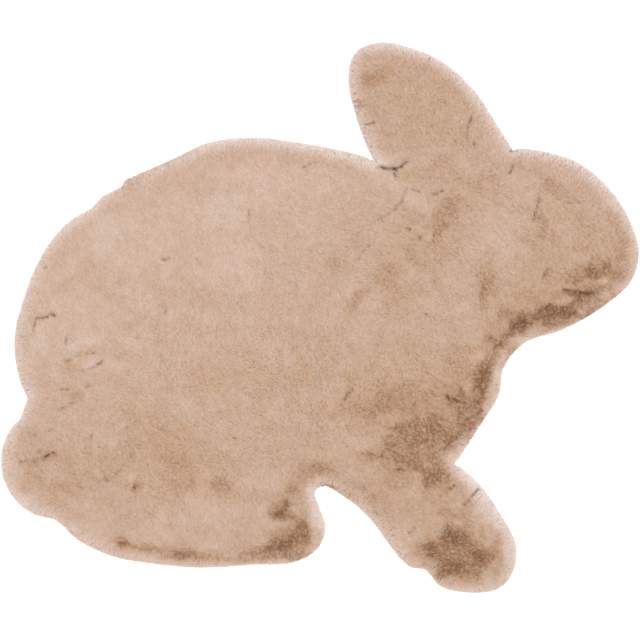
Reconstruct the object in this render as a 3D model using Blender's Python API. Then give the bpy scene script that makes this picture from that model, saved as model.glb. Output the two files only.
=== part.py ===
"""Rabbit-shaped plush rug for a child's room, lying flat.

The rug is one piece: a dense, short pile on a knitted ground cloth, cut to the outline of a
rabbit seen from the side. +X points to the nose, +Y to the ear and +Z up, and the origin is
the middle of the bounding box, on the flat underside.
"""

import math

import bmesh
import bpy
from mathutils import Vector
from mathutils.geometry import interpolate_bezier

# Driving dimensions, in metres
RUG_LENGTH = 0.900
GROUND_CLOTH_THICKNESS = 0.002
PILE_HEIGHT = 0.017
OUTLINE_STEP = 0.012

# The pile splays at the rim, so the directions that point into the rug turn slowly there:
# each is an average over this much of the outline, before and after its own point
SPLAY_WINDOW = 0.024

# The outline, anticlockwise from the nose: landmark, x_mm from the tail's tip, y_mm from the
# forepaw's sole, and how the outline passes it. Sizes are those of a rug 900 mm long.
LANDMARK_LENGTH_MM = 900
LANDMARKS = (
    ("nose", 900, 476, "smooth"),
    ("brow", 889, 520, "smooth"),
    ("forehead", 859, 568, "smooth"),
    ("crown front", 817, 604, "smooth"),
    ("crown", 772, 620, "smooth"),
    ("ear front notch", 721, 625, "corner"),
    ("ear front, low", 698, 662, "smooth"),
    ("ear front, middle", 669, 706, "smooth"),
    ("ear front, high", 619, 750, "smooth"),
    ("ear top", 570, 770, "smooth"),
    ("ear tip", 535, 775, "smooth"),
    ("ear tip, back", 502, 762, "smooth"),
    ("ear back, high", 492, 724, "smooth"),
    ("ear back, middle", 501, 679, "smooth"),
    ("ear back notch", 532, 606, "corner"),
    ("nape", 485, 621, "smooth"),
    ("withers", 422, 633, "smooth"),
    ("back top", 354, 641, "smooth"),
    ("back fall", 292, 633, "smooth"),
    ("loin", 241, 610, "smooth"),
    ("nick, high", 175, 581, "corner"),
    ("nick, low", 169, 571, "corner"),
    ("scallop, front", 142, 557, "corner"),
    ("scallop, middle", 126, 540, "corner"),
    ("scallop, back", 102, 527, "corner"),
    ("hip", 83, 510, "smooth"),
    ("rump, high", 51, 463, "smooth"),
    ("rump, middle", 30, 407, "smooth"),
    ("rump bend", 23, 384, "smooth"),
    ("rump back", 19, 353, "smooth"),
    ("rump, low", 25, 305, "smooth"),
    ("tail notch", 38, 273, "corner"),
    ("tail root", 27, 243, "corner"),
    ("tail, high", 8, 219, "smooth"),
    ("tail tip", 0, 180, "smooth"),
    ("tail, low", 16, 135, "smooth"),
    ("tail under", 49, 109, "smooth"),
    ("hock step", 72, 104, "smooth"),
    ("hock", 109, 73, "smooth"),
    ("sole, heel", 154, 52, "smooth"),
    ("sole, back", 217, 40, "smooth"),
    ("sole, lowest", 281, 35, "smooth"),
    ("sole, middle", 354, 39, "smooth"),
    ("sole, front", 419, 45, "smooth"),
    ("toe, low", 444, 60, "smooth"),
    ("toe", 456, 91, "smooth"),
    ("toe top", 446, 122, "smooth"),
    ("belly arch, back", 441, 143, "smooth"),
    ("belly arch, top", 448, 149, "smooth"),
    ("belly arch, front", 488, 133, "smooth"),
    ("foreleg under", 523, 102, "smooth"),
    ("elbow", 557, 57, "smooth"),
    ("elbow tuft", 578, 36, "smooth"),
    ("elbow tuft end", 600, 32, "smooth"),
    ("paw heel", 619, 10, "smooth"),
    ("paw sole", 656, 0, "smooth"),
    ("paw front", 710, 11, "smooth"),
    ("paw toe", 727, 53, "smooth"),
    ("foreleg top, low", 702, 112, "smooth"),
    ("foreleg top, high", 669, 156, "smooth"),
    ("foreleg notch", 638, 180, "corner"),
    ("chest, low", 676, 236, "smooth"),
    ("chest", 703, 283, "smooth"),
    ("throat", 707, 312, "smooth"),
    ("chin, back", 741, 354, "smooth"),
    ("chin", 789, 370, "smooth"),
    ("jaw", 855, 408, "smooth"),
    ("lip", 890, 441, "smooth"),
)

# Section through the rim, from the underside up: level, inset_mm from the outline, and height
# as a part of the rug's whole thickness
RIM_SECTION = (
    ("underside", 6.0, 0.00),
    ("ground cloth edge", 2.2, 0.11),
    ("widest", 0.0, 0.38),
    ("upper roll", 1.8, 0.66),
    ("shoulder", 6.5, 0.88),
    ("crown", 16.0, 1.00),
)

# Beige pile, as red, green and blue in linear light
PILE_COLOUR = (0.60, 0.41, 0.30, 1.0)
PILE_ROUGHNESS = 0.95


def heading(before, at, after):
    """Direction of travel at the middle one of three points, on the circle through them."""
    arrive = at - before
    leave = after - at
    return (arrive / arrive.length_squared + leave / leave.length_squared).normalized()


def mirrored(direction, chord):
    """The same arc's direction at its other end."""
    along = chord.normalized()
    return 2 * along.dot(direction) * along - direction


def run_headings(points, passes, start):
    """Directions in which the run from landmark number start leaves it and reaches the next."""
    count = len(points)
    end = (start + 1) % count
    chord = points[end] - points[start]
    leave = None
    arrive = None
    if passes[start] == "smooth":
        leave = heading(points[start - 1], points[start], points[end])
    if passes[end] == "smooth":
        arrive = heading(points[start], points[end], points[(end + 1) % count])
    if leave is None and arrive is None:
        return chord.normalized(), chord.normalized()
    return leave or mirrored(arrive, chord), arrive or mirrored(leave, chord)


def rug_outline():
    """The outline as evenly spaced points, with the bounding box's middle at the origin."""
    scale = RUG_LENGTH / LANDMARK_LENGTH_MM
    points = [Vector((x_mm, y_mm)) * scale for _, x_mm, y_mm, _ in LANDMARKS]
    passes = [how for _, _, _, how in LANDMARKS]
    outline = []
    for start, here in enumerate(points):
        there = points[(start + 1) % len(points)]
        chord = there - here
        leave, arrive = run_headings(points, passes, start)
        # This handle length makes the run an arc where both ends turn alike
        turn = chord.angle(leave) + chord.angle(arrive)
        handle = chord.length / (3 * math.cos(turn / 4) ** 2)
        steps = max(1, round(chord.length / OUTLINE_STEP))
        run = interpolate_bezier(here, here + handle * leave, there - handle * arrive, there, steps + 1)
        outline += [point.to_2d() for point in run[:-1]]
    low = Vector((min(p.x for p in outline), min(p.y for p in outline)))
    high = Vector((max(p.x for p in outline), max(p.y for p in outline)))
    middle = (low + high) / 2
    return [point - middle for point in outline]


def inward_directions(outline):
    """At each outline point, the direction in which the rim's section runs into the rug."""
    count = len(outline)
    reach = round(SPLAY_WINDOW / OUTLINE_STEP)
    inward = []
    for i in range(count):
        along = outline[(i + 1 + reach) % count] - outline[(i - 1 - reach) % count]
        inward.append(Vector((-along.y, along.x)).normalized())
    return inward


def rug_mesh(outline):
    """One closed body: the rim's section carried round the outline, closed flat above and below."""
    thickness = GROUND_CLOTH_THICKNESS + PILE_HEIGHT
    inward = inward_directions(outline)
    body = bmesh.new()
    rings = []
    for _, inset_mm, height in RIM_SECTION:
        level = [point + inset_mm / 1000 * into for point, into in zip(outline, inward)]
        rings.append([body.verts.new((point.x, point.y, height * thickness)) for point in level])
    for lower, upper in zip(rings, rings[1:]):
        for i in range(len(outline)):
            body.faces.new((lower[i - 1], lower[i], upper[i], upper[i - 1]))
    body.faces.new(reversed(rings[0]))
    body.faces.new(rings[-1])
    mesh = bpy.data.meshes.new("plush_rug")
    body.to_mesh(mesh)
    body.free()
    mesh.shade_smooth()
    return mesh


def plush_material():
    material = bpy.data.materials.new("beige plush")
    material.use_nodes = True
    shader = material.node_tree.nodes["Principled BSDF"]
    shader.inputs["Base Color"].default_value = PILE_COLOUR
    shader.inputs["Roughness"].default_value = PILE_ROUGHNESS
    shader.inputs["Metallic"].default_value = 0.0
    return material


def clear_scene():
    for item in list(bpy.data.objects):
        bpy.data.objects.remove(item, do_unlink=True)


clear_scene()
rug = bpy.data.objects.new("plush_rug", rug_mesh(rug_outline()))
rug.data.materials.append(plush_material())
bpy.context.scene.collection.objects.link(rug)
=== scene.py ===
import math
from itertools import chain

import bmesh
import bpy
import numpy as np
from mathutils.geometry import delaunay_2d_cdt
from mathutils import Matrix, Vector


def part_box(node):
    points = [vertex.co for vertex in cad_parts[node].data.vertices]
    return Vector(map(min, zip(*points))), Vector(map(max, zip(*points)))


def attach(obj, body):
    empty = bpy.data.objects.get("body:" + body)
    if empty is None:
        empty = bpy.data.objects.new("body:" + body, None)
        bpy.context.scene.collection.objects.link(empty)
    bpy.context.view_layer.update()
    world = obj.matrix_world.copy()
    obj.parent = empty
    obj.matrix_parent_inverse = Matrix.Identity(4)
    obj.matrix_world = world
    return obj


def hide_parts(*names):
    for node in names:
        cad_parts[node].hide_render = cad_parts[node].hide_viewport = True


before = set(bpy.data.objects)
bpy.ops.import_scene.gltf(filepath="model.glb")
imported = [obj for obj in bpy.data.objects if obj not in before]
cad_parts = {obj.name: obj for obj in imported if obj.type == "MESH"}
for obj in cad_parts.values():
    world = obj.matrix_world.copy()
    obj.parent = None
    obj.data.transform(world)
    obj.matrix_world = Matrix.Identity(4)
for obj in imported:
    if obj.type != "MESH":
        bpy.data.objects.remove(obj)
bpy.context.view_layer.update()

# Driving sizes, in metres
MM = 0.001
NODE = "plush_rug"
RUG_LOW, RUG_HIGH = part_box(NODE)
GROUND_CLOTH_THICKNESS = 2.0 * MM
CLOTH_EDGE_ROUND = 0.4 * MM
RIB_SPACING = 4.0 * MM
BED_CELL = 4.0 * MM
PILE_LENGTH = 6.5 * MM
STRANDS_PAST_OUTLINE = 0.8 * MM
FLOOR_CLEARANCE = 0.4 * MM
STEPS_PER_CAD_EDGE = 4
SAME_POINT = 0.001 * MM
SAME_LEVEL = 0.01 * MM
# Keeps a division finite
LEAST_DIVISOR = 0.05

# Maps of the rug seen from above, and the blank margin round its map of finished colours
MAP_STEP = 1.5 * MM
MAP_MARGIN = 6.0 * MM
WAY_OUT_EVENED = 10.0 * MM
BAKE_MARGIN = 0.01

# How much light is painted on the cut rim, by the inset from the outline
PAINTED_RIM_LIGHT = ((0.0, 3.0 * MM, 7.0 * MM, 12.0 * MM, 18.0 * MM), (0.63, 0.54, 0.42, 0.19, 0.02))
RIM_PIECE_INSET = 9.0 * MM

# Section of the close root mass: each line of the rim, from the floor up, then the crown
EDGE_INSET = 6.0 * MM
BED_RIM = (
    # inset from the outline, height (mm), how far its face leans out from straight up (degrees)
    (6.0, 2.1, 135),
    (4.2, 3.3, 120),
    (3.0, 5.2, 105),
    (2.6, 7.4, 85),
    (3.4, 9.8, 60),
    (6.0, 12.2, 35),
)
CROWN_HEIGHT = 15.2 * MM
CROWN_INSET = 18.0 * MM
# How far along a strand the eye reaches when it sees the root mass, which sets the root shade painted on
# it
BED_SEEN_AT = 0.15

# How the nap lies: it is brushed towards the upper left, and turns outwards at the rim
NAP_HEADING = math.radians(135)
NAP_WANDER = math.radians(24)
GENERAL_STAND = 0.26
# The pile stands a little more towards the lower right, so its painted shade grows darker there
GENERAL_STAND_TOWARDS_PAWS = 0.08
TURN_OUT_START = 10.0 * MM
TURN_OUT_END = 34.0 * MM
TURNING_STANDS = 0.15
LAID_ROOT_ANGLE = math.radians(80)
LAID_TIP_ANGLE = math.radians(106)
MOST_TIP_ANGLE = math.radians(150)
STANDING_TIP_ANGLE = math.radians(52)
STANDING_TURN = math.radians(45)
STANDING_TURN_SWELL = 3 * MM
LEAST_BEND = math.radians(4)
LEAST_FLATNESS, MOST_FLATNESS = 0.05, 1.15
# Where along its reach a strand is mostly seen, and how its lit side faces
SEEN_ALONG = 0.7
FACES_BACK = 0.25
FACES_UP = 0.7
FACES_UP_MORE_WHEN_LAID = 0.3
# Powers: as the pile stands up, the first lifts it slowly, and the second keeps its tips down longer
STAND_POWER = 1.3
TIP_POWER = 0.35

# How strands differ from each other, and how deep in shade their roots lie
STRAND_SCATTER = 1.6
CLUMP_SCATTER = 0.9
CLUMP_SIZE = 1.8 * MM
LEAST_SCATTER = -0.35
SCATTER_GROWTH = 1.3
LAID_ROOT_SHADE = 0.03
STANDING_ROOT_SHADE = 0.3
ROOT_SHADE_ENDS = 0.8
LAID_STRAND_CONTRAST = 0.2
STANDING_STRAND_CONTRAST = 0.66
SHADE_GROWTH = 1.5

# Painted light on the rim: the side on which it is painted lighter, as if it caught more light, and the
# side from which the nap is brushed, where less is painted
RIM_LIGHT = 0.3
LIGHT_SIDE = (0.5, 0.85)
BRUSHED_SIDE = (0.71, -0.71)
BRUSHED_LOSS = 0.3
RIM_HIDDEN_BY_STANDING = 0.8

# Partings of the pile, with lengths in millimetres where the name says so
PARTING_CELL = 1.5 * MM
PARTING_DEPTH = 2.5 * MM
PARTING_PUSH = 2.2 * MM
PARTING_CROOK_MM = 1.6
PARTING_MIDDLE_MM = 0.3
PARTING_CROOK_SWELL = 5 * MM
PARTING_STRENGTH = 1.25
PARTING_HOLDS = 0.74
PARTING_STARTS = 0.08
PARTING_LIP = 0.4
PARTING_SINKS = 0.4
SHORTEST_KEPT = 0.15

# Patches of standing or laid pile: where they begin to fade, and where they end
PATCH_FADES = 0.5
PATCH_ENDS = 1.35

# Unevenness, as layers of soft noise: how strong, how far apart its swells lie, seed
NOISE_CELLS = 128
NOISE_START = 500
NAP_SWELLS = ((1.0, 90 * MM, 31), (0.5, 30 * MM, 32))
STAND_SWELLS = ((0.04, 60 * MM, 33), (0.035, 22 * MM, 34), (0.045, 8 * MM, 35))
PARTING_BREAKS = ((0.48, 4 * MM, 43),)
COMB_SWELLS = ((math.radians(15), 5 * MM, 51), (math.radians(10), 14 * MM, 52))
FLATNESS_SWELLS = ((0.1, 4 * MM, 53),)
CROWN_SWELLS = ((0.4 * MM, 45 * MM, 61), (0.25 * MM, 13 * MM, 62))

# Pile pieces: where each region of the field ends, from the tail to the nose
FIELD_REGIONS = (
    # piece, starts at x, ends at x (mm)
    ("pile_rump", -460, -232),
    ("pile_back", -232, -76),
    ("pile_shoulder", -76, 112),
    ("pile_head", 112, 460),
)
TUFT_SPACING = 1.85 * MM
TUFT_TURN = math.radians(30)
TUFT_SIZE_VARIATION = 0.12
STRANDS_IN_TUFT = 6
STRAND_TURN = 35
SHORTEST_STRAND, LONGEST_STRAND = 0.82, 1.08
# Strands set out like the seeds of a sunflower, so that they fill the tuft evenly (radians)
SUNFLOWER_TURN = 2.4

# Studio: even light from all round, and two wide lamps
ROUND_LIGHT = 0.818
LAMP_WIDTH = math.radians(40)
LAMPS = (
    # name, strength, tilt from straight above, heading (degrees)
    ("key", 2.31, 7, 45),
    ("fill", 0.42, 30, -60),
)
FLOOR_HALF = 6.0
FLOOR_GLOW = 0.2
LENS_MM = 119.0
CAMERA_PLACE = (-0.1 * MM, -3.3 * MM, 3.0)

# Places where the pile stands up, so that the eye looks down between the strands into their shade,
# painted brown into their colour
STANDING_PILE = {
    # where: x, y, half length, half width (mm), turn (degrees), how upright
    "ear back": ((80, 340, 25, 15, 30, 0.35),),
    "ear front": ((58, 302, 8, 8, 0, 0.35),),
    "behind the cheek": ((178, 145, 30, 15, 60, 0.28), (130, 140, 15, 10, 0, 0.12)),
    "top of the head": ((335, 180, 30, 12, -30, 0.2),),
    "forehead": ((315, 128, 20, 8, 90, 0.25),),
    "eye": ((322, 63, 9, 7, 0, 0.25), (330, 112, 10, 14, 0, 0.12)),
    "nose": ((430, 110, 12, 10, 0, 0.15), (395, 120, 40, 40, 0, 0.1)),
    "muzzle": ((395, 65, 25, 12, 20, 0.5), (425, 60, 12, 10, 0, 0.3), (365, 56, 36, 16, 15, 0.25),
               (350, 50, 30, 10, 0, 0.12), (372, 22, 12, 6, 20, 0.25)),
    "lower lip": ((365, 35, 32, 14, 18, 0.8),),
    "chin": ((330, 8, 35, 14, 15, 0.8),),
    "jaw": ((283, -8, 25, 16, 30, 0.8), (266, 2, 14, 10, 0, 0.4), (290, 26, 16, 10, 0, 0.15),
            (246, -12, 12, 9, 0, 0.2)),
    "throat": ((248, -40, 22, 13, 60, 0.7), (228, -85, 26, 12, 75, 0.65)),
    "chest edge": ((210, -122, 25, 14, 65, 0.7), (221, -140, 12, 14, 0, 0.5),
                   (228, -146, 14, 12, 60, 0.4)),
    "chest": ((148, -172, 74, 36, 32, 0.48), (90, -190, 30, 12, 20, 0.25), (105, -170, 24, 18, 30, 0.3),
              (80, -155, 30, 10, 10, 0.15), (88, -190, 14, 14, 0, 0.12), (192, -172, 8, 8, 0, 0.2)),
    "chest centre": ((160, -165, 30, 20, 30, 0.12),),
    "chest foot": ((165, -215, 24, 18, 40, 0.3), (160, -228, 22, 12, 20, 0.22),
                   (150, -214, 14, 8, 0, 0.2)),
    "upper chest": ((130, -120, 90, 38, -10, 0.25), (162, -110, 14, 9, 0, 0.15)),
    "shoulder": ((60, -125, 40, 25, 0, 0.2), (48, -74, 14, 12, 0, 0.1)),
    "upper throat": ((200, -70, 30, 25, 60, 0.2),),
    "lower cheek": ((236, 42, 30, 12, 80, 0.25), (325, 32, 14, 10, 0, 0.15)),
    "neck": ((92, 62, 20, 14, 0, 0.2), (55, 28, 20, 10, 60, 0.25), (25, 75, 15, 10, 0, 0.15),
             (95, 32, 60, 20, 15, 0.14), (112, 62, 16, 12, 0, 0.12), (60, 90, 90, 60, 0, 0.04)),
    "belly arch": ((0, -213, 25, 10, 0, 0.35), (-42, -240, 11, 10, 0, 0.35),
                   (12, -241, 18, 6, -20, 0.5), (-28, -226, 18, 8, 0, 0.15)),
    "hind toes": ((-57, -273, 19, 11, 40, 0.7), (-45, -282, 20, 8, 0, 0.45),
                  (-48, -283, 20, 8, -15, 0.3)),
    "hind foot": ((-35, -312, 34, 24, 0, 0.4), (-17, -302, 15, 13, 0, 0.55),
                  (-57, -320, 24, 9, 15, 0.5), (-70, -328, 26, 9, 8, 0.35),
                  (-25, -338, 24, 8, 8, 0.45)),
    "hind sole": ((-278, -314, 10, 8, 0, 0.4), (-235, -328, 45, 8, -12, 0.4),
                  (-190, -335, 25, 9, 0, 0.45), (-120, -338, 65, 9, 0, 0.4)),
    "forepaw": ((200, -334, 54, 36, 10, 0.5),),
    "forepaw top": ((190, -309, 22, 14, 0, 0.4),),
    "forepaw left": ((158, -328, 14, 10, 0, 0.45),),
    "forepaw right": ((232, -338, 16, 13, 30, 0.4),),
    "forepaw low": ((186, -356, 26, 13, 0, 0.5), (208, -364, 16, 8, 0, 0.35)),
    "foreleg": ((157, -330, 8, 7, 0, 0.4), (193, -317, 7, 6, 0, 0.4), (180, -303, 12, 10, 0, 0.3),
                (165, -250, 32, 20, -45, 0.15), (100, -255, 60, 30, -45, 0.08),
                (180, -276, 30, 10, 0, 0.2), (170, -236, 16, 12, 0, 0.12), (84, -255, 14, 12, 0, 0.1)),
    "toe": ((232, -340, 11, 9, 0, 0.25), (178, -362, 12, 8, 0, 0.3)),
    "thigh": ((-235, -175, 80, 60, 0, 0.12), (-200, -205, 22, 16, 0, 0.15),
              (-140, -235, 20, 12, 0, 0.25), (-205, -238, 30, 32, 0, 0.15),
              (-340, -235, 20, 24, 0, 0.1), (-125, -252, 18, 12, 0, 0.1), (-200, -270, 14, 12, 0, 0.15),
              (-225, -170, 22, 16, 0, 0.1), (-270, -292, 24, 14, 0, 0.1),
              (-230, -220, 130, 60, 0, 0.05)),
    "pit on the thigh": ((-257, -239, 9, 7, 0, 0.3),),
    "rump": ((-345, -110, 12, 9, 0, 0.25), (-350, -70, 12, 8, 0, 0.2), (-335, -48, 16, 16, 0, 0.1),
             (-285, -45, 20, 16, 0, 0.12)),
    "tail": ((-385, -193, 14, 9, 20, 0.3), (-400, -205, 10, 8, 0, 0.25), (-365, -240, 18, 12, 0, 0.15),
             (-400, -200, 50, 50, 0, 0.12)),
    "flank": ((-20, -80, 30, 22, 0, 0.12), (-140, -65, 110, 55, -20, 0.12), (-85, -45, 22, 14, 0, 0.1),
              (-238, 55, 16, 26, -15, 0.1), (-180, 22, 60, 14, -12, 0.08)),
    "back": ((-310, 58, 45, 28, 0, 0.12), (-130, 188, 35, 14, 0, 0.1), (-110, 180, 32, 32, 0, 0.07)),
    "ear": ((130, 300, 100, 60, -45, 0.1), (100, 245, 22, 14, 60, 0.1)),
    "ear root": ((160, 200, 42, 13, 0, 0.12), (230, 188, 40, 14, 0, 0.1)),
    "neck side": ((155, 88, 30, 32, 0, 0.15), (205, 155, 16, 14, 0, 0.12)),
    "cheek": ((238, 75, 26, 22, 0, 0.12), (245, 80, 12, 34, 0, 0.1), (250, 50, 12, 24, 0, 0.1)),
    "chin edge": ((340, -6, 48, 9, 18, 0.5), (395, 18, 30, 10, 35, 0.5)),
    "breast": ((110, -50, 85, 26, 0, 0.12),),
    "throat edge": ((268, -52, 20, 7, 60, 0.5),),
    "belly": ((0, -130, 20, 22, 0, 0.1), (-20, -165, 24, 16, 0, 0.08)),
    "belly edge": ((30, -247, 24, 7, -20, 0.3),),
    "back edge": ((-200, 232, 60, 10, 28, 0.35),),
    "rump edge": ((-275, 188, 30, 10, 40, 0.3),),
    "head": ((270, 110, 150, 95, -20, 0.06),),
}

# Places where the pile is pressed flat and shows its pale sides, with less painted shade
LAID_PILE = {
    # where: x, y, half length, half width (mm), turn (degrees), how flat
    "back": ((-300, 120, 32, 22, 20, 0.45), (-130, 150, 50, 25, 10, 0.35), (-100, 190, 45, 20, 0, 0.35),
             (-120, 80, 50, 40, 0, 0.25), (-182, 135, 12, 16, 0, 0.3), (-162, 55, 20, 14, 0, 0.3),
             (-350, 65, 18, 20, 30, 0.25), (-10, 195, 60, 24, 0, 0.25), (0, 150, 20, 40, 0, 0.15),
             (-280, 75, 40, 24, 0, 0.15), (-220, 120, 150, 90, 25, 0.16), (50, 86, 12, 14, 0, 0.12),
             (-40, 60, 26, 60, 0, 0.12)),
    "rump": ((-332, -36, 26, 9, 14, 0.55), (-395, -40, 18, 14, 0, 0.4), (-325, -68, 13, 5, 25, 0.6),
             (-335, -10, 75, 60, 0, 0.25)),
    "thigh": ((-277, -150, 9, 6, 0, 0.4), (-295, -175, 7, 5, 0, 0.4), (-313, -190, 6, 5, 0, 0.4),
              (-270, -225, 13, 9, 0, 0.4), (-190, -130, 24, 16, 0, 0.35), (-298, -170, 36, 20, 15, 0.3),
              (-290, -210, 20, 14, 40, 0.12)),
    "cheek": ((255, 110, 50, 36, 80, 0.35),),
    "forehead": ((280, 190, 28, 18, 0, 0.25),),
    "lower cheek": ((205, 18, 16, 12, 0, 0.3),),
    "neck": ((75, 25, 16, 12, 0, 0.3), (128, 175, 34, 12, -36, 0.3), (106, 160, 9, 9, 0, 0.25)),
    "hind shin": ((-160, -275, 60, 22, 0, 0.3), (-85, -228, 36, 18, 0, 0.35)),
    "muzzle": ((352, 25, 16, 4, 22, 0.6), (375, 45, 22, 7, 10, 0.45), (345, 25, 12, 8, 0, 0.4)),
    "nose": ((395, 50, 9, 5, 20, 0.5), (398, 36, 12, 8, 0, 0.25)),
    "hind toes": ((-57, -290, 12, 6, 20, 0.3), (-65, -269, 16, 7, 0, 0.25)),
    "forepaw": ((190, -331, 9, 6, 0, 0.12), (214, -305, 10, 12, 0, 0.4), (203, -342, 16, 6, 0, 0.12)),
    "rump edge": ((-408, -62, 15, 45, 0, 0.4), (-425, -55, 10, 26, 0, 0.4),
                  (-402, -120, 14, 24, 0, 0.2)),
    "tail edge": ((-400, -264, 32, 12, -20, 0.4), (-434, -215, 16, 46, 0, 0.4),
                  (-418, -258, 30, 10, -35, 0.4)),
    "hind sole": ((-235, -302, 22, 28, 0, 0.3), (-150, -328, 36, 10, -8, 0.45),
                  (-325, -305, 34, 12, -30, 0.35), (-225, -332, 24, 7, 0, 0.25),
                  (-245, -336, 34, 7, -8, 0.3)),
    "hind foot front": ((-3, -288, 12, 36, -10, 0.7), (-8, -250, 10, 14, 0, 0.4)),
    "foreleg front": ((236, -264, 66, 15, -57, 0.8), (210, -225, 26, 10, -52, 0.6),
                      (236, -296, 18, 34, 0, 0.35)),
    "forepaw edge": ((235, -368, 26, 10, 0, 0.35), (262, -318, 10, 22, 0, 0.4),
                     (268, -326, 12, 34, 0, 0.7), (215, -384, 40, 7, 0, 0.4)),
    "foreleg back": ((118, -316, 15, 24, 30, 0.3),),
    "chest": ((55, -175, 22, 9, 0, 0.3), (170, -130, 22, 8, -10, 0.35), (143, -158, 8, 12, 0, 0.25),
              (182, -150, 20, 12, 0, 0.2), (150, -190, 8, 12, 0, 0.2)),
    "throat": ((212, -112, 18, 8, 30, 0.35), (240, -42, 10, 13, 0, 0.4), (222, -60, 16, 12, 50, 0.2)),
    "upper chest": ((100, -88, 15, 7, 0, 0.3),),
    "jaw": ((298, 8, 9, 6, 0, 0.5), (292, -28, 14, 8, 30, 0.4)),
    "brow": ((290, 168, 15, 13, 0, 0.3), (302, 125, 10, 13, 0, 0.25)),
    "back edge": ((55, 222, 55, 14, -14, 0.45), (80, 205, 30, 14, -20, 0.3)),
    "ear root": ((88, 228, 16, 22, -30, 0.4), (105, 212, 18, 8, 10, 0.3), (85, 190, 26, 10, 0, 0.15)),
    "shoulder": ((60, -113, 24, 12, 0, 0.3),),
    "belly arch": ((-12, -226, 12, 20, 0, 0.2),),
    "tail": ((-390, -190, 12, 10, 0, 0.35),),
    "flank": ((-180, -40, 60, 24, 0, 0.15), (-200, -160, 16, 20, 0, 0.1)),
    "ear edge": ((245, 240, 10, 34, 30, 0.35),),
    "head edge": ((340, 205, 70, 10, -15, 0.3), (392, 172, 34, 10, -50, 0.3)),
    "chest edge": ((208, -135, 10, 14, 0, 0.2),),
    "chin edge": ((305, -18, 16, 6, 15, 0.4), (328, -20, 18, 6, 0, 0.5)),
    "throat edge": ((254, -72, 7, 26, -15, 0.35),),
    "hind foot": ((-68, -316, 16, 8, 0, 0.2),),
}

# Partings, where the pile opens along a short crooked line down to its roots, and the shade in them is
# painted dark brown
PARTINGS = {
    # where: starts at x, y, ends at x, y, width (mm), how deep
    "ear root": ((88, 212, 108, 208, 2.7, 1.0), (108, 210, 125, 221, 1.8, 0.8),
                 (80, 213, 88, 212, 1.7, 0.6), (104, 203, 107, 198, 1.7, 0.6)),
    "neck arc": ((122, 183, 115, 165, 1.5, 0.4), (115, 165, 105, 153, 1.5, 0.4),
                 (105, 153, 80, 138, 1.5, 0.35)),
    "neck": ((131, 182, 140, 177, 1.4, 0.5), (157, 172, 173, 179, 1.5, 0.6),
             (160, 108, 163, 125, 1.5, 0.5), (141, 110, 143, 118, 1.5, 0.5),
             (65, 100, 70, 102, 1.4, 0.5), (50, 78, 65, 98, 1.4, 0.3)),
    "neck pit": ((124, 125, 126, 125, 1.7, 0.7),),
    "ear": ((65, 273, 76, 276, 1.5, 0.6), (206, 252, 213, 282, 1.4, 0.4),
            (216, 243, 218, 247, 1.4, 0.6)),
    "brow": ((268, 203, 272, 213, 1.4, 0.5), (301, 138, 309, 168, 1.5, 0.45)),
    "cheek": ((315, 55, 322, 70, 1.4, 0.4), (226, 25, 230, 50, 1.5, 0.4)),
    "nose": ((378, 70, 385, 85, 1.4, 0.5),),
    "ear and head": ((270, 236, 277, 236, 1.7, 0.7),),
    "mouth": ((345, 38, 392, 33, 1.7, 0.7),),
    "chin": ((318, 10, 325, 20, 1.6, 0.5), (350, 3, 380, 22, 1.7, 0.5)),
    "jaw": ((270, -15, 290, -5, 2.2, 0.4),),
    "throat": ((245, -45, 255, -35, 1.8, 0.6), (230, -75, 225, -100, 1.8, 0.3)),
    "chest": ((175, -110, 205, -122, 1.9, 0.55), (205, -145, 228, -130, 1.8, 0.7),
              (180, -180, 197, -165, 1.5, 0.5), (75, -192, 100, -200, 1.5, 0.4),
              (110, -215, 120, -215, 1.7, 0.5)),
    "foreleg": ((175, -245, 190, -238, 1.6, 0.5), (202, -265, 222, -243, 1.6, 0.65),
                (127, -303, 133, -295, 1.5, 0.4)),
    "belly": ((62, -243, 66, -235, 1.2, 0.3), (75, -265, 80, -278, 1.2, 0.35)),
    "flank": ((33, -117, 45, -102, 1.4, 0.5), (103, -103, 110, -99, 1.4, 0.5),
              (-33, 50, -34, 30, 1.2, 0.22), (-42, -50, -35, -40, 1.2, 0.25),
              (-77, 65, -77, 50, 1.2, 0.22)),
    "back": ((-24, 212, -14, 220, 1.4, 0.4), (-101, 138, -99, 153, 1.2, 0.3)),
    "back pit": ((-223, 81, -214, 84, 1.3, 0.5), (-220, 5, -216, 10, 1.3, 0.5)),
    "rump pit": ((-389, 70, -387, 71, 1.7, 0.6),),
    "flank pit": ((-259, -30, -257, -30, 1.7, 0.5), (149, 4, 151, 4, 1.7, 0.5)),
    "thigh pit": ((-121, -170, -119, -170, 1.7, 0.5), (-263, -240, -260, -236, 1.8, 0.6),
                  (-313, -182, -311, -182, 1.4, 0.45), (-330, -185, -329, -184, 1.3, 0.35)),
    "rump": ((-404, -18, -400, -1, 1.5, 0.6), (-400, -1, -386, 2, 1.4, 0.5),
             (-386, 2, -376, 5, 2.2, 1.0), (-359, -37, -357, -27, 1.4, 0.45),
             (-360, -62, -335, -50, 1.5, 0.32), (-328, -50, -318, -48, 1.5, 0.45),
             (-335, -75, -316, -68, 1.5, 0.3), (-316, -68, -307, -60, 1.5, 0.5),
             (-330, -98, -326, -95, 1.5, 0.5), (-368, -102, -355, -100, 1.5, 0.35),
             (-370, -130, -350, -121, 1.4, 0.35)),
    "tail": ((-388, -197, -377, -190, 1.9, 0.75), (-398, -190, -392, -188, 1.5, 0.45),
             (-425, -203, -400, -201, 1.4, 0.35), (-383, -160, -379, -158, 1.5, 0.5),
             (-410, -168, -400, -165, 1.5, 0.4)),
    "thigh": ((-326, -172, -320, -165, 1.5, 0.4), (-290, -222, -278, -212, 1.4, 0.35),
              (-308, -215, -300, -230, 1.4, 0.3), (-266, -195, -262, -190, 1.5, 0.5)),
}


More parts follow.
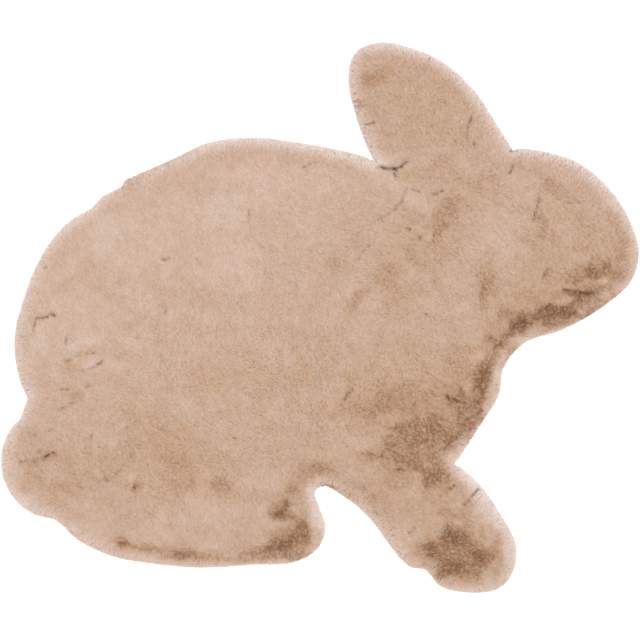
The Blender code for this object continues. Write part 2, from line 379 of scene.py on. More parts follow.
def linear(hex_colour):
    """Turns an sRGB hex colour to linear red, green and blue with a full alpha."""
    parts = [int(hex_colour[i:i + 2], 16) / 255 for i in (1, 3, 5)]
    return [c / 12.92 if c <= 0.04045 else ((c + 0.055) / 1.055) ** 2.4 for c in parts] + [1.0]


def add(tree, kind, settings=None, inputs=None):
    """Adds a node with its settings. An input is a value, another node's first output, or a socket."""
    node = tree.nodes.new(kind)
    for name, value in (settings or {}).items():
        setattr(node, name, value)
    sockets = {socket.identifier: socket for socket in node.inputs}
    for name, value in (inputs or {}).items():
        if isinstance(value, bpy.types.Node):
            value = next(out for out in value.outputs if out.enabled)
        if isinstance(value, bpy.types.NodeSocket):
            tree.links.new(value, sockets[name])
        else:
            sockets[name].default_value = value
    return node


def set_stops(node, stops):
    """Gives a colour ramp its stops, each a place and a linear colour."""
    elements = node.color_ramp.elements
    while len(elements) < len(stops):
        elements.new(1.0)
    for element, (place, colour) in zip(elements, stops):
        element.position = place
        element.color = colour


def ramp(values, start, end):
    """Rises smoothly from 0 at start to 1 at end."""
    t = np.clip((values - start) / (end - start), 0, 1)
    return t * t * (3 - 2 * t)


def soft_noise(places, size, seed):
    """Smooth unevenness from about -1 to 1, whose swells are size metres apart."""
    lattice = np.random.default_rng(seed).uniform(-1, 1, (NOISE_CELLS, NOISE_CELLS))
    cell = places / size + NOISE_START
    corner = np.floor(cell).astype(int)
    t = cell - corner
    t = t * t * (3 - 2 * t)
    x0, y0 = corner[..., 0] % NOISE_CELLS, corner[..., 1] % NOISE_CELLS
    x1, y1 = (x0 + 1) % NOISE_CELLS, (y0 + 1) % NOISE_CELLS
    low = lattice[x0, y0] * (1 - t[..., 0]) + lattice[x1, y0] * t[..., 0]
    high = lattice[x0, y1] * (1 - t[..., 0]) + lattice[x1, y1] * t[..., 0]
    return low * (1 - t[..., 1]) + high * t[..., 1]


def unevenly(values, places, layers):
    """Adds layers of soft noise to some values."""
    for strength, size, seed in layers:
        values = values + strength * soft_noise(places, size, seed)
    return values


def cad_ring(height):
    """The closed line of edges that runs round the CAD rug at one height, anticlockwise from above."""
    mesh = bmesh.new()
    mesh.from_mesh(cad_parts[NODE].data)
    bmesh.ops.remove_doubles(mesh, verts=mesh.verts, dist=SAME_POINT)
    level = {v for v in mesh.verts if abs(v.co.z - height) < SAME_LEVEL}
    following = {}
    for edge in mesh.edges:
        flat_faces = [face for face in edge.link_faces if level.issuperset(face.verts)]
        if level.issuperset(edge.verts) and len(flat_faces) < len(edge.link_faces):
            for v in edge.verts:
                following.setdefault(v, []).append(edge.other_vert(v))
    start = min(following, key=lambda v: v.co.x)
    ring = [start, following[start][0]]
    while True:
        onward = next(v for v in following[ring[-1]] if v is not ring[-2])
        if onward is start:
            break
        ring.append(onward)
    points = np.array([v.co.xy for v in ring])
    mesh.free()
    after = np.roll(points, -1, 0)
    turns_left = np.sum(points[:, 0] * after[:, 1] - points[:, 1] * after[:, 0]) > 0
    return points if turns_left else points[::-1]


def smooth_ring(points):
    """A round curve through the ring's points, with an equal number of steps along each edge."""
    before, after, beyond = (np.roll(points, k, 0) for k in (1, -1, -2))
    fine = []
    for t in np.linspace(0, 1, STEPS_PER_CAD_EDGE, endpoint=False):
        fine.append(0.5 * (2 * points + (after - before) * t
                           + (2 * before - 5 * points + 4 * after - beyond) * t ** 2
                           + (3 * points - before - 3 * after + beyond) * t ** 3))
    return np.stack(fine, 1).reshape(-1, 2)


def read(values, places):
    """Reads a map of the rug at any places, blending between its grid points."""
    just_inside = np.array(MAP_SHAPE) - 1.001
    cell = np.clip((places - MAP_CORNER) / MAP_STEP, 0, just_inside)
    i, j = np.floor(cell).astype(int).T
    u, v = (cell - np.floor(cell)).T
    return (values[i, j] * (1 - u) * (1 - v) + values[i + 1, j] * u * (1 - v)
            + values[i, j + 1] * (1 - u) * v + values[i + 1, j + 1] * u * v)


def read_way(ways, places):
    """Reads a map of flat directions at any places."""
    return np.stack([read(ways[..., 0], places), read(ways[..., 1], places)], 1)


def edge_maps(outline):
    """How far each grid point lies inside the outline, and the way out from it.

    Both change slowly, so they are worked out at every second point and filled in between."""
    tangent = np.roll(outline, -1, 0) - np.roll(outline, 1, 0)
    outward = np.stack([tangent[:, 1], -tangent[:, 0]], 1)
    outward /= np.linalg.norm(outward, axis=1)[:, None]
    outline, outward = outline.astype(np.float32), outward.astype(np.float32)
    maps = np.zeros(tuple((n + 1) // 2 for n in MAP_SHAPE) + (3,), np.float32)
    for i, row in enumerate(GRID[::2, ::2].astype(np.float32)):
        gap_x = row[:, :1] - outline[:, 0]
        gap_y = row[:, 1:] - outline[:, 1]
        distance = np.sqrt(gap_x ** 2 + gap_y ** 2)
        nearest = distance.argmin(1)
        row_numbers = np.arange(len(row))
        least = distance[row_numbers, nearest]
        side = (gap_x[row_numbers, nearest] * outward[nearest, 0]
                + gap_y[row_numbers, nearest] * outward[nearest, 1])
        weight = np.exp((least[:, None] - distance) / WAY_OUT_EVENED)
        maps[i, :, 0] = np.where(side < 0, least, -least)
        maps[i, :, 1:] = (weight @ outward) / weight.sum(1)[:, None]
    for axis in (0, 1):
        halfway = 0.5 * (maps + np.roll(maps, -1, axis))
        maps = np.stack([maps, halfway], axis + 1)
        maps = maps.reshape(maps.shape[:axis] + (-1,) + maps.shape[axis + 2:])
        maps = maps[:MAP_SHAPE[0], :MAP_SHAPE[1]]
    return maps[..., 0], maps[..., 1:]


def patch_map(patches, seed):
    """How strongly a table of oval patches marks each grid point. Their rims are uneven."""
    unmarked = np.ones(MAP_SHAPE)
    swells = ((0.35, 14 * MM, seed), (0.2, 6 * MM, seed + 1))
    crooked = unevenly(0.0, GRID, swells)
    for x, y, half_length, half_width, turn, strength in chain(*patches.values()):
        offset = GRID / MM - np.array((x, y))
        c, s = math.cos(math.radians(turn)), math.sin(math.radians(turn))
        across = np.hypot((offset[..., 0] * c + offset[..., 1] * s) / half_length,
                          (offset[..., 1] * c - offset[..., 0] * s) / half_width)
        unmarked *= 1 - strength * (1 - ramp(across + crooked, PATCH_FADES, PATCH_ENDS))
    return 1 - unmarked


def parting_maps():
    """How open the pile is at each grid point, and the way in which it is pushed aside there."""
    open_pile = np.zeros(MAP_SHAPE)
    aside = np.zeros(MAP_SHAPE + (2,))
    crooked = np.stack([soft_noise(GRID, PARTING_CROOK_SWELL, seed) for seed in (41, 42)], 2)
    places = GRID / MM + PARTING_CROOK_MM * crooked
    broken = unevenly(PARTING_HOLDS, GRID, PARTING_BREAKS)
    for x0, y0, x1, y1, width, depth in chain(*PARTINGS.values()):
        start, run = np.array((x0, y0)), np.array((x1 - x0, y1 - y0))
        share = np.clip(((places - start) @ run) / (run @ run), 0, 1)
        gap = places - start - share[..., None] * run
        distance = np.linalg.norm(gap, axis=2)
        open_pile = np.maximum(open_pile, depth * np.exp(-(distance / width) ** 2))
        push = depth * np.exp(-(distance / (2 * width)) ** 2)
        aside += (push / np.maximum(distance, PARTING_MIDDLE_MM))[..., None] * gap
    return np.clip(PARTING_STRENGTH * open_pile * broken, 0, 1), aside * broken[..., None]


def nap_maps():
    """The way in which the pile lies at each grid point, and how far it stands up."""
    heading = NAP_HEADING + NAP_WANDER * unevenly(0.0, GRID, NAP_SWELLS)
    nap = np.stack([np.cos(heading), np.sin(heading)], 2)
    outward = (1 - ramp(inside, TURN_OUT_START, TURN_OUT_END))[..., None]
    lie = outward * way_out + (1 - outward) * nap
    size = np.linalg.norm(lie, axis=2)
    turning = TURNING_STANDS * (1 - np.clip(size, 0, 1))
    across_rug = (GRID[..., 0] - GRID[..., 1]) / (RUG_HIGH.x - RUG_LOW.x)
    general = unevenly(GENERAL_STAND + GENERAL_STAND_TOWARDS_PAWS * across_rug, GRID, STAND_SWELLS)
    stands = 1 - (1 - turning) * (1 - standing) * (1 - np.clip(general, 0, 1))
    return lie / np.maximum(size, LEAST_DIVISOR)[..., None], stands * (1 - laid)


def on_shoulder(places):
    """How much of the round shoulder is left to climb: 1 at its foot, 0 on the flat crown."""
    return 1 - np.clip((read(inside, places) - EDGE_INSET) / (CROWN_INSET - EDGE_INSET), 0, 1)


def crown_height(places):
    """Height of the root mass above the floor: a round shoulder, slight swells and the partings."""
    shoulder = on_shoulder(places)
    edge_height = BED_RIM[-1][1] * MM
    height = CROWN_HEIGHT - (CROWN_HEIGHT - edge_height) * shoulder ** 2
    swell = unevenly(0.0, places, CROWN_SWELLS)
    return height + (swell - PARTING_DEPTH * read(open_pile, places)) * (1 - shoulder)


def show(name, mesh):
    """Puts a mesh in the scene as an object of that name."""
    thing = bpy.data.objects.new(name, mesh)
    mesh.name = name
    bpy.context.scene.collection.objects.link(thing)
    return thing


def store(mesh, name, values):
    """Keeps one number for each point of a mesh under a name that its material reads."""
    kept = mesh.attributes.get(name) or mesh.attributes.new(name, "FLOAT", "POINT")
    kept.data.foreach_set("value", np.ascontiguousarray(values, dtype=np.float32))


def get_points(mesh, name, size):
    """The numbers that each point of a mesh carries under a name."""
    values = np.empty(len(mesh.vertices) * size, np.float32)
    if name == "position":
        mesh.vertices.foreach_get("co", values)
    else:
        mesh.attributes[name].data.foreach_get("vector" if size == 3 else "value", values)
    return values.reshape(-1, size).astype(float) if size > 1 else values.astype(float)


def lay_out_map(mesh):
    """Gives a mesh a flat map of the rug seen from above, for the finished colours."""
    layer = mesh.uv_layers.new(name="OFBake")
    corners = np.empty(len(mesh.loops), np.int32)
    mesh.loops.foreach_get("vertex_index", corners)
    places = get_points(mesh, "position", 3)[:, :2]
    flat = (places - np.array(RUG_LOW.xy)) / (RUG_HIGH.x - RUG_LOW.x)
    flat = flat * (1 - 2 * BAKE_MARGIN) + BAKE_MARGIN
    layer.data.foreach_set("uv", np.clip(flat, 0, 1)[corners].astype(np.float32).ravel())


def paint(mesh, along, own_shade=0.5, clump=0.0):
    """Marks a mesh with what the plush shows at each place: its nap, its depth, partings and rim, which
    the material turns into painted shade and painted rim light.

    Where the pile stands up, single strands and clumps stand more or less than those around them,
    strands differ more in tone, and their roots lie in deeper shade."""
    places = get_points(mesh, "position", 3)[:, :2]
    upright_here = read(upright, places)
    scatter = STRAND_SCATTER * (own_shade - 0.5) + CLUMP_SCATTER * clump
    scatter = np.maximum(scatter * np.clip(SCATTER_GROWTH * upright_here, 0, 1), LEAST_SCATTER)
    store(mesh, "upright", np.clip(upright_here * (1 + scatter), 0, 1))
    depth = upright_here ** SHADE_GROWTH
    root_shade = LAID_ROOT_SHADE + (STANDING_ROOT_SHADE - LAID_ROOT_SHADE) * depth
    contrast = LAID_STRAND_CONTRAST + (STANDING_STRAND_CONTRAST - LAID_STRAND_CONTRAST) * depth
    # Painted shade: each strand is painted darker towards its root, more where the pile stands up
    root_light = 1 - root_shade * (1 - np.clip(along / ROOT_SHADE_ENDS, 0, 1))
    store(mesh, "tone", root_light * (1 + contrast * (own_shade - 0.5)))
    store(mesh, "parting_shade", read(open_pile, places))
    outward = read_way(way_out, places)
    # Painted light: the rim is painted lighter towards the upper right, the side on which light falls
    towards_light = 1 + RIM_LIGHT * outward @ np.array(LIGHT_SIDE)
    # The nap is brushed away from the lower right, where less painted rim light shows
    towards_light *= 1 - BRUSHED_LOSS * np.clip(outward @ np.array(BRUSHED_SIDE), 0, 1)
    painted_rim_light = np.interp(read(inside, places), *PAINTED_RIM_LIGHT)
    painted_rim_light = painted_rim_light * (1 - RIM_HIDDEN_BY_STANDING * read(standing, places))
    store(mesh, "rim", towards_light * painted_rim_light)


def within(places, ring):
    """Says which places lie inside a closed line, from how often a ray to the right crosses it."""
    after = np.roll(ring, -1, 0)
    inside_it = np.zeros(len(places), bool)
    for (x0, y0), (x1, y1) in zip(ring, after):
        if y0 == y1:
            continue
        crossed = (places[:, 1] > min(y0, y1)) & (places[:, 1] <= max(y0, y1))
        inside_it ^= crossed & (places[:, 0] < x0 + (places[:, 1] - y0) * (x1 - x0) / (y1 - y0))
    return inside_it


def fill(ring, inner=()):
    """Triangles that fill a closed line and use some inner points, as numbers of those points."""
    points = np.array([tuple(p) for p in ring] + [tuple(p) for p in inner])
    edges = [(k, (k + 1) % len(ring)) for k in range(len(ring))]
    faces = np.array(delaunay_2d_cdt(points.tolist(), edges, [], 0, 1e-7, False)[2])
    return faces[within(points[faces].mean(1), ring)]


def closed_body(rings, inner=(), heights=()):
    """A closed body: rings from the bottom up, a flat underside, and a crown over the inner points."""
    count = len(rings[0][0])
    verts = np.vstack([np.column_stack([ring, np.full(count, height)]) for ring, height in rings])
    near = np.arange(count)
    far = np.roll(near, -1)
    faces = [row.tolist() for row in fill(rings[0][0])[:, ::-1]]
    for level in range(len(rings) - 1):
        low = level * count
        faces += np.stack([near + low, far + low, far + low + count, near + low + count], 1).tolist()
    faces += (fill(rings[-1][0], inner) + len(verts) - count).tolist()
    if len(inner):
        verts = np.vstack([verts, np.column_stack([inner, heights])])
    mesh = bpy.data.meshes.new("closed body")
    mesh.from_pydata(verts.tolist(), [], faces)
    return mesh


def knitted_base():
    """Warp-knitted polyester base cloth: matt and even, with fine ribs along the rug."""
    material = bpy.data.materials.new("warp-knitted polyester base")
    material.use_nodes = True
    tree = material.node_tree
    tree.nodes.clear()
    place = add(tree, "ShaderNodeTexCoord")
    # Real ribs are about 1 mm apart, and are drawn coarser so that they show
    rib = add(tree, "ShaderNodeTexWave", {"bands_direction": "Y"},
              {"Vector": place.outputs["Object"], "Scale": 2 * math.pi / 20 / RIB_SPACING,
               "Distortion": 1.5, "Detail": 2.0, "Detail Scale": 2.0})
    tone = add(tree, "ShaderNodeValToRGB", inputs={"Fac": rib.outputs["Fac"]})
    set_stops(tone, ((0.0, linear("#b9a391")), (1.0, linear("#d3c0b0"))))
    bump = add(tree, "ShaderNodeBump", inputs={"Height": rib.outputs["Fac"], "Strength": 0.4,
                                               "Distance": 0.4 * MM})
    finish = add(tree, "ShaderNodeBsdfPrincipled",
                 inputs={"Base Color": tone, "Roughness": 0.9, "Normal": bump})
    add(tree, "ShaderNodeOutputMaterial", inputs={"Surface": finish})
    return material


def plush_pile():
    """Polyester plush: fine soft strands, pale on their sides and tips, with painted shade down at the
    roots, in partings and where the pile stands up, and painted light on the rim.
    """
    material = bpy.data.materials.new("polyester plush")
    material.use_nodes = True
    tree = material.node_tree
    tree.nodes.clear()
    marks = {}
    for name in ("tone", "upright", "parting_shade", "rim"):
        marks[name] = add(tree, "ShaderNodeAttribute", {"attribute_name": name}).outputs["Fac"]
    # Painted shade: where the pile stands up, its strands are painted brown for the shade seen down
    # between them; where it lies flat they are pale
    nap = add(tree, "ShaderNodeValToRGB", inputs={"Fac": marks["upright"]})
    set_stops(nap, ((0.0, linear("#e2cfc3")), (0.25, linear("#d7bca6")), (0.5, linear("#cfae90")),
                    (0.75, linear("#c8a182")), (1.0, linear("#aa7d5c"))))
    # Painted light: the thin cut rim is painted paler and greyer for the light that comes through it
    rimmed = add(tree, "ShaderNodeMix", {"data_type": "RGBA"},
                 {"Factor_Float": marks["rim"], "A_Color": nap.outputs["Color"],
                  "B_Color": linear("#eee4e0")})
    # Painted shade: the partings are painted dark brown for the shade between the parted strands
    parting_shade = add(tree, "ShaderNodeMix", {"data_type": "RGBA"},
                 {"Factor_Float": marks["parting_shade"], "A_Color": rimmed,
                  "B_Color": linear("#7b5532")})
    # The tone darkens the colour with the painted root shade and each strand's own difference in tone
    colour = add(tree, "ShaderNodeHueSaturation", inputs={"Value": marks["tone"], "Color": parting_shade})
    finish = add(tree, "ShaderNodeBsdfPrincipled",
                 inputs={"Base Color": colour, "Roughness": 0.8, "Specular IOR Level": 0.1})
    # Fine strands glow on the side away from the light
    glow = add(tree, "ShaderNodeBsdfTranslucent", inputs={"Color": colour})
    pile = add(tree, "ShaderNodeMixShader", inputs={"Fac": 0.5, "Shader": finish, "Shader_001": glow})
    add(tree, "ShaderNodeOutputMaterial", inputs={"Surface": pile})
    return material


def tuft_plan(name, levels, half_width, radius, splay, seed):
    """A tuft drawn flat: strands side by side, each a slim leaf that says how far along a point is.

    The levels say where along a leaf it is given its width, and how much of the full width."""
    dice = np.random.default_rng(seed)
    verts, faces, along, own_shade = [], [], [], []
    for k in range(STRANDS_IN_TUFT):
        angle = SUNFLOWER_TURN * k
        reach = radius * math.sqrt((k + 0.5) / STRANDS_IN_TUFT)
        root = np.array((reach * math.cos(angle), reach * math.sin(angle)))
        lean = dice.uniform(-splay, splay, 2)
        turn = math.radians(dice.uniform(-STRAND_TURN, STRAND_TURN))
        across = half_width * np.array((-math.sin(turn), math.cos(turn)))
        length = dice.uniform(SHORTEST_STRAND, LONGEST_STRAND)
        first = len(verts)
        own_shade += [dice.uniform()] * (2 + 2 * len(levels))
        verts.append(root)
        along.append(0.0)
        for level, width in levels:
            verts += [root + lean * level - across * width, root + lean * level + across * width]
            along += [level * length] * 2
        verts.append(root + lean)
        along.append(length)
        faces.append((first, first + 1, first + 2))
        for pair in range(len(levels) - 1):
            a = first + 1 + 2 * pair
            faces.append((a, a + 2, a + 3, a + 1))
        faces.append((len(verts) - 3, len(verts) - 1, len(verts) - 2))
    mesh = bpy.data.meshes.new(name)
    mesh.from_pydata([(x, y, 0.0) for x, y in verts], [], faces)
    store(mesh, "along", np.array(along))
    store(mesh, "strand_shade", np.array(own_shade))
    return show(name, mesh)


def planting_tree():
    """Geometry Nodes: plants tufts evenly over a surface, each turned and sized a little differently."""
    tree = bpy.data.node_groups.new("plant tufts", "GeometryNodeTree")
    interface = tree.interface
    for name, kind in (("Bed", "Geometry"), ("Tuft", "Object"), ("Tuft spacing", "Float"),
                       ("Tuft turn", "Float"), ("Size variation", "Float"), ("Seed", "Int"),
                       ("Pile material", "Material")):
        interface.new_socket(name, in_out="INPUT", socket_type="NodeSocket" + kind)
    result = interface.new_socket("Pile", in_out="OUTPUT", socket_type="NodeSocketGeometry")
    given = add(tree, "NodeGroupInput").outputs
    packing = add(tree, "ShaderNodeMath", {"operation": "POWER"},
                  {"Value": given["Tuft spacing"], "Value_001": -2.0})
    points = add(tree, "GeometryNodeDistributePointsOnFaces", {"distribute_method": "POISSON"},
                 {"Mesh": given["Bed"], "Distance Min": given["Tuft spacing"], "Density Max": packing,
                  "Seed": given["Seed"]})
    place = add(tree, "GeometryNodeInputPosition")
    rooted = add(tree, "GeometryNodeStoreNamedAttribute", {"data_type": "FLOAT_VECTOR"},
                 {"Geometry": points.outputs["Points"], "Name": "root", "Value": place})
    shade = add(tree, "FunctionNodeRandomValue", {"data_type": "FLOAT"}, {"Seed": given["Seed"]})
    shaded = add(tree, "GeometryNodeStoreNamedAttribute", {"data_type": "FLOAT"},
                 {"Geometry": rooted, "Name": "tuft_shade", "Value": shade})
    least_turn = add(tree, "ShaderNodeMath", {"operation": "MULTIPLY"},
                     {"Value": given["Tuft turn"], "Value_001": -1.0})
    turn = add(tree, "FunctionNodeRandomValue", {"data_type": "FLOAT"},
               {"Min_001": least_turn, "Max_001": given["Tuft turn"], "Seed": given["Seed"]})
    upwards = add(tree, "ShaderNodeCombineXYZ", inputs={"Z": turn})
    turned = add(tree, "FunctionNodeEulerToRotation", inputs={"Euler": upwards})
    least = add(tree, "ShaderNodeMath", {"operation": "SUBTRACT"},
                {"Value": 1.0, "Value_001": given["Size variation"]})
    most = add(tree, "ShaderNodeMath", {"operation": "ADD"},
               {"Value": 1.0, "Value_001": given["Size variation"]})
    size = add(tree, "FunctionNodeRandomValue", {"data_type": "FLOAT"},
               {"Min_001": least, "Max_001": most, "Seed": given["Seed"]})
    tuft = add(tree, "GeometryNodeObjectInfo", inputs={"Object": given["Tuft"]})
    planted = add(tree, "GeometryNodeInstanceOnPoints",
                  inputs={"Points": shaded, "Instance": tuft.outputs["Geometry"],
                          "Rotation": turned, "Scale": size})
    real = add(tree, "GeometryNodeRealizeInstances", inputs={"Geometry": planted})
    finished = add(tree, "GeometryNodeSetMaterial",
                   inputs={"Geometry": real, "Material": given["Pile material"]})
    add(tree, "NodeGroupOutput", inputs={result.identifier: finished})
    return tree


def planting_bed(bed, chosen):
    """The part of the root mass's surface where tufts are planted, without its underside."""
    surface = bmesh.new()
    surface.from_mesh(bed.data)
    middles = np.array([face.calc_center_median() for face in surface.faces])
    flat_underside = np.array([face.normal.z < -0.99 for face in surface.faces])
    kept = chosen(middles[:, :2]) & ~flat_underside
    spare = [face for face, keep in zip(surface.faces, kept) if not keep]
    bmesh.ops.delete(surface, geom=spare, context="FACES")
    mesh = bpy.data.meshes.new("planting bed")
    surface.to_mesh(mesh)
    surface.free()
    return show("planting bed", mesh)


def reach_before_parting(ground, way, length, root_angle, bend):
    """The share of its length that each strand can keep, so that its tip ends at a parting's lip."""
    share = np.ones(len(ground))
    for part in (1.0, 0.8, 0.6, 0.4, 0.2, 0.0):
        out = length * (np.cos(root_angle) - np.cos(root_angle + bend * part)) / bend
        crossed = read(open_pile, ground + way * out[:, None]) > PARTING_LIP
        share = np.where(crossed, max(part, SHORTEST_KEPT), share)
    return share


def strand_ways(ground):
    """The way in which each strand lies over. Where the pile stands up, neighbours turn apart."""
    heading = np.arctan2(read(nap_way[..., 1], ground), read(nap_way[..., 0], ground))
    heading = unevenly(heading, ground, COMB_SWELLS)
    heading += STANDING_TURN * read(upright, ground) * soft_noise(ground, STANDING_TURN_SWELL, 55)
    return np.stack([np.cos(heading), np.sin(heading)], 1)


def strand_angles(ground, slope):
    """How far each strand leans from straight up at its root and at its tip."""
    flatness = unevenly(1 - read(upright, ground) ** STAND_POWER, ground, FLATNESS_SWELLS)
    flatness = np.clip(flatness, LEAST_FLATNESS, MOST_FLATNESS)
    tip_angle = slope + np.maximum(flatness ** TIP_POWER * LAID_TIP_ANGLE, STANDING_TIP_ANGLE)
    tip_angle = np.minimum(tip_angle, MOST_TIP_ANGLE)
    root_angle = slope + flatness * LAID_ROOT_ANGLE * np.clip(1 - slope / math.radians(90), 0, 1)
    return np.minimum(root_angle, tip_angle - LEAST_BEND), tip_angle


def comb(mesh):
    """Bends every strand over as the nap lies at its root, and leaves the partings open."""
    root = get_points(mesh, "root", 3)
    along = get_points(mesh, "along", 1)
    offset = (get_points(mesh, "position", 3) - root)[:, :2]
    ground = root[:, :2]
    way = strand_ways(ground)
    root_angle, tip_angle = strand_angles(ground, get_points(mesh, "slope", 1))
    bend = tip_angle - root_angle
    reach = (np.cos(root_angle) - np.cos(tip_angle)) / bend
    toward_edge = np.clip((way * read_way(way_out, ground)).sum(1), LEAST_DIVISOR, 1)
    room = read(inside, ground) + STRANDS_PAST_OUTLINE
    length = np.minimum(PILE_LENGTH, room / (np.abs(reach) * toward_edge))
    length = length * reach_before_parting(ground, way, length, root_angle, bend)
    angle = root_angle + bend * along
    out = length * (np.cos(root_angle) - np.cos(angle)) / bend
    rise = length * (np.sin(angle) - np.sin(root_angle)) / bend
    seen = ground + way * (length * reach * SEEN_ALONG)[:, None]
    turned = np.stack([offset[:, 0] * way[:, 0] - offset[:, 1] * way[:, 1],
                       offset[:, 0] * way[:, 1] + offset[:, 1] * way[:, 0]], 1)
    pushed = read_way(aside, seen) * (PARTING_PUSH * along)[:, None]
    place = ground + turned + way * out[:, None] + pushed
    height = root[:, 2] + rise * (1 - PARTING_SINKS * read(open_pile, seen))
    height = np.maximum(height, FLOOR_CLEARANCE)
    finished = np.column_stack([place, height]).astype(np.float32)
    mesh.vertices.foreach_set("co", finished.ravel())
    # A strand is round, so its lit side faces up, and back from the way in which it leans
    back = way * (-FACES_BACK * np.cos(angle))[:, None]
    facing = np.column_stack([back, FACES_UP + FACES_UP_MORE_WHEN_LAID * np.abs(np.sin(angle))])
    facing /= np.linalg.norm(facing, axis=1)[:, None]
    mesh.update()
    mesh.normals_split_custom_set_from_vertices(facing.astype(np.float32))


def plant(name, bed, tree, tuft, chosen, seed, material):
    """One region of pile: planted by Geometry Nodes, combed, and marked for its colours."""
    base = planting_bed(bed, chosen)
    modifier = base.modifiers.new("plant tufts", "NODES")
    modifier.node_group = tree
    values = {"Tuft": tuft, "Tuft spacing": TUFT_SPACING, "Tuft turn": TUFT_TURN,
              "Size variation": TUFT_SIZE_VARIATION, "Seed": seed, "Pile material": material}
    for item in tree.interface.items_tree:
        if item.in_out == "INPUT" and item.name in values:
            modifier[item.identifier] = values[item.name]
    graph = bpy.context.evaluated_depsgraph_get()
    mesh = bpy.data.meshes.new_from_object(base.evaluated_get(graph))
    bpy.data.objects.remove(base)
    comb(mesh)
    own_shade = (get_points(mesh, "tuft_shade", 1) + get_points(mesh, "strand_shade", 1)) % 1
    clump = soft_noise(get_points(mesh, "root", 3)[:, :2], CLUMP_SIZE, 54)
    paint(mesh, get_points(mesh, "along", 1), own_shade, clump)
    lay_out_map(mesh)
    for working_mark in ("root", "slope", "along", "tuft_shade", "strand_shade"):
        mesh.attributes.remove(mesh.attributes[working_mark])
    return show(name, mesh)


def make_ground_cloth():
    """The knitted base that the pile stands in, cut to the outline, with a soft cut edge."""
    drawn_in = cloth_line + (cloth_line - outline) * CLOTH_EDGE_ROUND / EDGE_INSET
    rings = ((drawn_in, 0.0), (cloth_line, CLOTH_EDGE_ROUND),
             (cloth_line, GROUND_CLOTH_THICKNESS - CLOTH_EDGE_ROUND),
             (drawn_in, GROUND_CLOTH_THICKNESS))
    mesh = closed_body(rings)
    mesh.materials.append(knitted_base())
    return show("ground_cloth", mesh)


def crown_points():
    """Points of the root mass's crown: an even net, closer where the pile parts."""
    closer = round(PARTING_CELL / MAP_STEP)
    wider = round(BED_CELL / MAP_STEP)
    chosen = np.zeros(MAP_SHAPE, bool)
    chosen[::closer, ::closer] = (open_pile > PARTING_STARTS)[::closer, ::closer]
    chosen[::wider, ::wider] = True
    return GRID[chosen & (inside > EDGE_INSET + MAP_STEP)]


def make_pile_bed(material):
    """The close mass of roots that the strands rise from, a little below the top of the pile."""
    rings = []
    for inset, height, _ in BED_RIM:
        rings.append((outline + (cloth_line - outline) * inset * MM / EDGE_INSET, height * MM))
    inner = crown_points()
    mesh = closed_body(rings, inner, crown_height(inner))
    mesh.materials.append(material)
    mesh.polygons.foreach_set("use_smooth", np.ones(len(mesh.polygons), bool))
    lean_out = np.repeat([lean for _, _, lean in BED_RIM], len(outline))
    store(mesh, "slope", np.radians(np.concatenate([lean_out, BED_RIM[-1][2] * on_shoulder(inner)])))
    # The root mass is painted with the root shade seen that far down
    paint(mesh, BED_SEEN_AT)
    lay_out_map(mesh)
    return show("pile_bed", mesh)


def make_pile(bed, material):
    """All the strands: the rim in finer curves, then the field from the rump to the head."""
    tree = planting_tree()
    fine_tuft = tuft_plan("fine tuft", levels=((0.35, 1.0), (0.72, 0.8)), half_width=0.92 * MM,
                          radius=1.0 * MM, splay=1.0 * MM, seed=61)
    tuft = tuft_plan("tuft", levels=((0.42, 1.0),), half_width=0.8 * MM,
                     radius=1.0 * MM, splay=1.3 * MM, seed=62)
    pieces = [plant("pile_rim", bed, tree, fine_tuft, lambda p: read(inside, p) < RIM_PIECE_INSET,
                    71, material)]
    for seed, (name, start, end) in enumerate(FIELD_REGIONS, 72):
        pieces.append(plant(name, bed, tree, tuft,
                            lambda p: ((p[:, 0] >= start * MM) & (p[:, 0] < end * MM)
                                       & (read(inside, p) >= RIM_PIECE_INSET)), seed, material))
    bpy.data.objects.remove(fine_tuft)
    bpy.data.objects.remove(tuft)
    return pieces


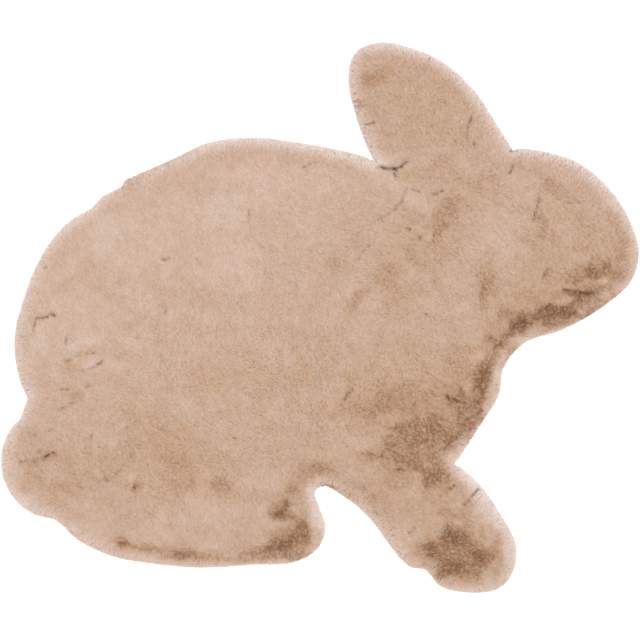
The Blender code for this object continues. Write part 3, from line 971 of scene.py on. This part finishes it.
def make_studio():
    """A plain white floor, soft light from above and a little from the upper right, and the camera."""
    mesh = bpy.data.meshes.new("floor")
    corners = [(x * FLOOR_HALF, y * FLOOR_HALF, 0) for x, y in ((-1, -1), (1, -1), (1, 1), (-1, 1))]
    mesh.from_pydata(corners, [], [(0, 1, 2, 3)])
    floor = show("floor", mesh)
    paper = bpy.data.materials.new("white paper floor")
    paper.use_nodes = True
    finish = paper.node_tree.nodes["Principled BSDF"].inputs
    finish["Base Color"].default_value = linear("#f5f5f5")
    finish["Roughness"].default_value = 0.9
    finish["Emission Color"].default_value = linear("#ffffff")
    finish["Emission Strength"].default_value = FLOOR_GLOW
    mesh.materials.append(paper)

    world = bpy.data.worlds.new("studio")
    bpy.context.scene.world = world
    world.use_nodes = True
    world.node_tree.nodes["Background"].inputs["Color"].default_value = (1, 1, 1, 1)
    world.node_tree.nodes["Background"].inputs["Strength"].default_value = ROUND_LIGHT

    for name, strength, tilt, heading in LAMPS:
        lamp = bpy.data.lights.new(name, "SUN")
        lamp.energy = strength
        lamp.angle = LAMP_WIDTH
        thing = bpy.data.objects.new(name, lamp)
        thing.rotation_euler = (math.radians(tilt), 0, math.radians(heading + 90))
        bpy.context.scene.collection.objects.link(thing)

    lens = bpy.data.cameras.new("camera")
    lens.lens = LENS_MM
    lens.sensor_width = 36.0
    camera = bpy.data.objects.new("camera", lens)
    camera.location = CAMERA_PLACE
    bpy.context.scene.collection.objects.link(camera)
    bpy.context.scene.camera = camera
    bpy.context.scene.view_settings.view_transform = "Standard"


# The rug's outline from above, and the line where its underside ends, both read from the CAD rug
rug_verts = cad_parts[NODE].data.vertices
widest_ring = cad_ring(max(rug_verts, key=lambda v: v.co.x).co.z)
underside_ring = cad_ring(RUG_LOW.z)
nearest = np.linalg.norm(underside_ring - widest_ring[0], axis=1).argmin()
underside_ring = np.roll(underside_ring, -nearest, 0)
outline = smooth_ring(widest_ring)
cloth_line = smooth_ring(underside_ring)

# The grid that all maps of the rug share
MAP_CORNER = np.array(RUG_LOW.xy) - MAP_MARGIN
MAP_SHAPE = tuple(np.ceil((np.array(RUG_HIGH.xy) + MAP_MARGIN - MAP_CORNER) / MAP_STEP).astype(int))
GRID = MAP_CORNER + MAP_STEP * np.stack(np.meshgrid(*map(np.arange, MAP_SHAPE), indexing="ij"), 2)

inside, way_out = edge_maps(outline)
standing = patch_map(STANDING_PILE, 11)
laid = patch_map(LAID_PILE, 21)
open_pile, aside = parting_maps()
nap_way, upright = nap_maps()

# The rug's pieces, and the studio that they are seen in
plush = plush_pile()
cloth = make_ground_cloth()
bed = make_pile_bed(plush)
pile = make_pile(bed, plush)
make_studio()

for piece in [cloth, bed] + pile:
    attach(piece, "root")
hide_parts(NODE)
